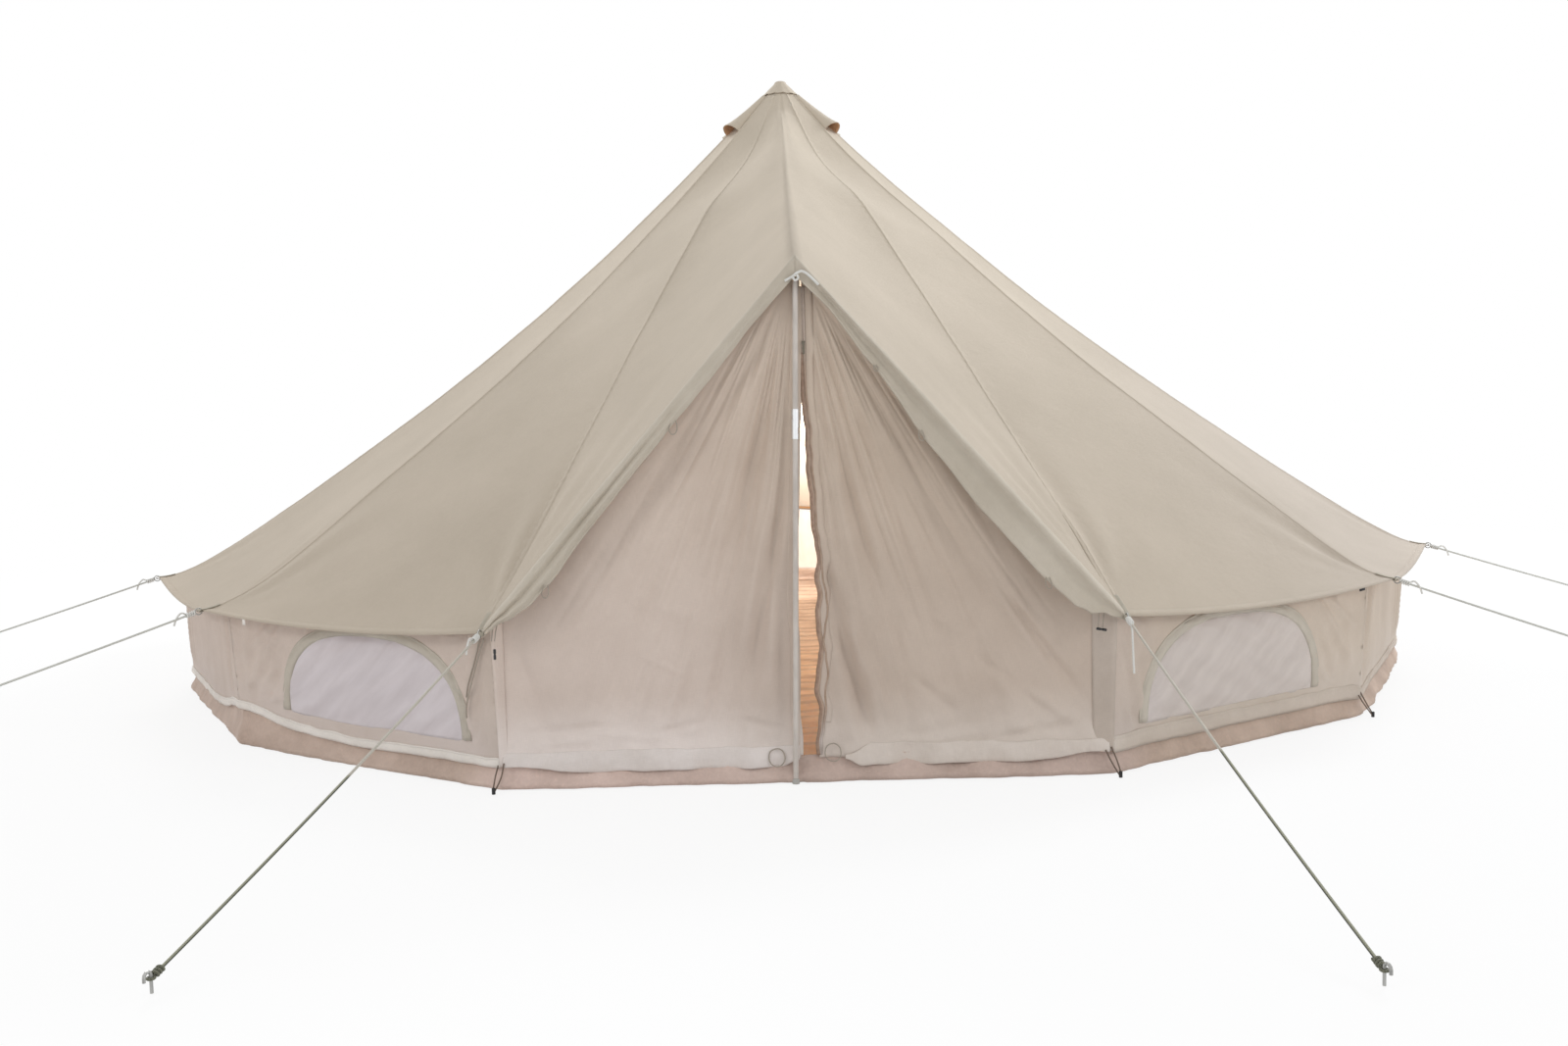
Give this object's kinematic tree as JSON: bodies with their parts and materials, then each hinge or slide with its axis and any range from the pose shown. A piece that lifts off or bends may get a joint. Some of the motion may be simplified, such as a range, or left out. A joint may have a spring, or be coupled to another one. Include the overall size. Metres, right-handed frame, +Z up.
{
  "type": "glamping tent",
  "caption": "Round bell tent in canvas, pitched: bell-curved roof on a centre pole, low walls with arched net windows, A-frame door with two zipped curtains, ground sheet and guy ropes.",
  "frame": {"origin": "on the ground, on the underside of the ground sheet, under the centre pole", "axes": "+Z up; the door faces -Y; +X is to the right of someone who faces the door from outside"},
  "size_m": [9.3906, 7.6876, 2.99],
  "materials": {
    "roof_canvas": "matt woven canvas",
    "wall_canvas": "matt woven canvas",
    "door_canvas": "matt woven canvas",
    "window_net": "fine woven net",
    "window_lining": "matt woven canvas",
    "ground_sheet": "coated, satin",
    "pole_steel": "galvanised",
    "white_pole": "white paint, satin",
    "black_rubber": "matt",
    "guy_rope": "braided cord",
    "peg_steel": "galvanised",
    "toggle_plastic": "moulded",
    "zip_metal": "satin"
  },
  "bodies": {
    "tent": {"roof_right_front": "roof_canvas", "roof_right": "roof_canvas", "roof_right_rear": "roof_canvas", "roof_left_rear": "roof_canvas", "roof_left": "roof_canvas", "roof_left_front": "roof_canvas", "roof_door_right": "roof_canvas", "roof_door_left": "roof_canvas", "apex_cap": "roof_canvas", "vent_hood_1": "roof_canvas", "vent_hood_2": "roof_canvas", "vent_hood_3": "roof_canvas", "vent_hood_4": "roof_canvas", "wall_01": "wall_canvas", "wall_02": "wall_canvas", "wall_03": "wall_canvas", "wall_04": "wall_canvas", "wall_05": "wall_canvas", "wall_06": "wall_canvas", "wall_07": "wall_canvas", "wall_08": "wall_canvas", "wall_09": "wall_canvas", "wall_10": "wall_canvas", "wall_11": "wall_canvas", "wall_12": "wall_canvas", "window_net_front_right": "window_net", "window_net_rear_right": "window_net", "window_net_rear_left": "window_net", "window_net_front_left": "window_net", "groundsheet": "ground_sheet", "center_pole_lower": "pole_steel", "center_pole_upper": "pole_steel", "door_pole_sleeve": "pole_steel", "door_pole_lower": "white_pole", "door_pole_upper": "white_pole", "center_pole_foot": "black_rubber", "center_pole_tip": "black_rubber", "door_pole_foot": "black_rubber", "guy_rope_front_right": "guy_rope", "guy_rope_right": "guy_rope", "guy_rope_rear_right": "guy_rope", "guy_rope_rear_left": "guy_rope", "guy_rope_left": "guy_rope", "guy_rope_front_left": "guy_rope", "peg_front_right": "peg_steel", "peg_right": "peg_steel", "peg_rear_right": "peg_steel", "peg_rear_left": "peg_steel", "peg_left": "peg_steel", "peg_front_left": "peg_steel"},
    "left_door": {"door_left": "door_canvas"},
    "right_door": {"door_right": "door_canvas"},
    "zip": {"zip_slider": "zip_metal"},
    "cover_front_right": {"window_cover_front_right": "window_lining"},
    "cover_rear_right": {"window_cover_rear_right": "window_lining"},
    "cover_rear_left": {"window_cover_rear_left": "window_lining"},
    "cover_front_left": {"window_cover_front_left": "window_lining"},
    "left_toggle": {"toggle_left": "toggle_plastic"},
    "right_toggle": {"toggle_right": "toggle_plastic"}
  },
  "joints": [
    {"name": "door_left_swing", "type": "hinge", "parent": "tent", "child": "left_door", "pos_m": [0, -2.81911, 1.69121], "axis": [0.6619, 0, 0.7496], "range_deg": [0, 75]},
    {"name": "door_right_swing", "type": "hinge", "parent": "tent", "child": "right_door", "pos_m": [0, -2.81911, 1.69121], "axis": [0.6619, 0, -0.7496], "range_deg": [0, 75]},
    {"name": "zip_run", "type": "slide", "parent": "right_door", "child": "zip", "axis": [0.036, 0, -0.9994], "range_m": [-0.14, 1.3]},
    {"name": "window_cover_front_right_drop", "type": "hinge", "parent": "tent", "child": "cover_front_right", "pos_m": [1.53711, -2.48357, 0.13815], "axis": [-0.837, -0.5472, 0], "range_deg": [0, 108]},
    {"name": "window_cover_rear_right_drop", "type": "hinge", "parent": "tent", "child": "cover_rear_right", "pos_m": [1.93406, 2.18866, 0.13815], "axis": [0.7656, -0.6434, 0], "range_deg": [0, 108]},
    {"name": "window_cover_rear_left_drop", "type": "hinge", "parent": "tent", "child": "cover_rear_left", "pos_m": [-1.93406, 2.18866, 0.13815], "axis": [0.7656, 0.6434, 0], "range_deg": [0, 108]},
    {"name": "window_cover_front_left_drop", "type": "hinge", "parent": "tent", "child": "cover_front_left", "pos_m": [-1.53711, -2.48357, 0.13815], "axis": [-0.837, 0.5472, 0], "range_deg": [0, 108]},
    {"name": "toggle_left_sway", "type": "hinge", "parent": "tent", "child": "left_toggle", "pos_m": [-1.01, -2.89477, 0.535], "axis": [-1, 0, 0], "range_deg": [-25, 60]},
    {"name": "toggle_right_sway", "type": "hinge", "parent": "tent", "child": "right_toggle", "pos_m": [0.972, -2.89477, 0.545], "axis": [-1, 0, 0], "range_deg": [-25, 60]}
  ]
}
